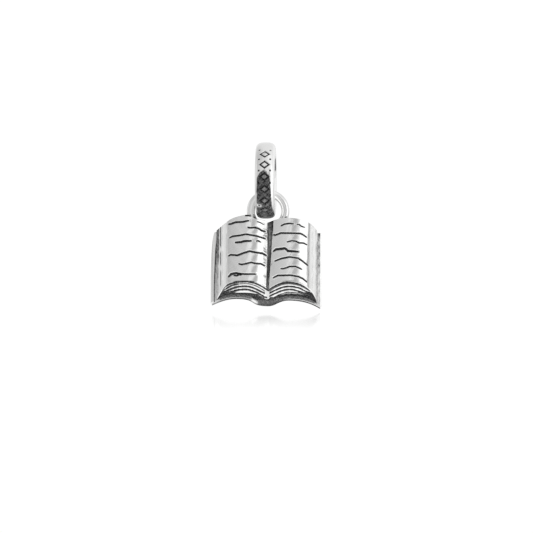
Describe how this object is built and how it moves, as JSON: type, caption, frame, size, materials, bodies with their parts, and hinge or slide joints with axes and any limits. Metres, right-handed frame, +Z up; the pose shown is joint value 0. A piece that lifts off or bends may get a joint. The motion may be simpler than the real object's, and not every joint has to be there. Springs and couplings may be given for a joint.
{
  "type": "open book charm on a slide-on bail",
  "caption": "Cast silver charm in the form of an open book, with a soldered ring that hangs from a thick ring-shaped bail.",
  "frame": {"origin": "top inside of the bail's hole, where the chain or bracelet bears", "axes": "+X across the open pages to the right, +Y from the pages to the cover, +Z up along the pages"},
  "size_m": [0.0111, 0.0076, 0.0167],
  "materials": {
    "silver": "polished sterling silver with oxidised recesses"
  },
  "bodies": {
    "bail_body": {"bail": "silver"},
    "book_body": {"book": "silver"}
  },
  "joints": [
    {"name": "book_swing", "type": "hinge", "parent": "bail_body", "child": "book_body", "pos_m": [0.00022, 0, -0.00331], "axis": [1, 0, 0], "range_deg": [-18, 45]}
  ]
}
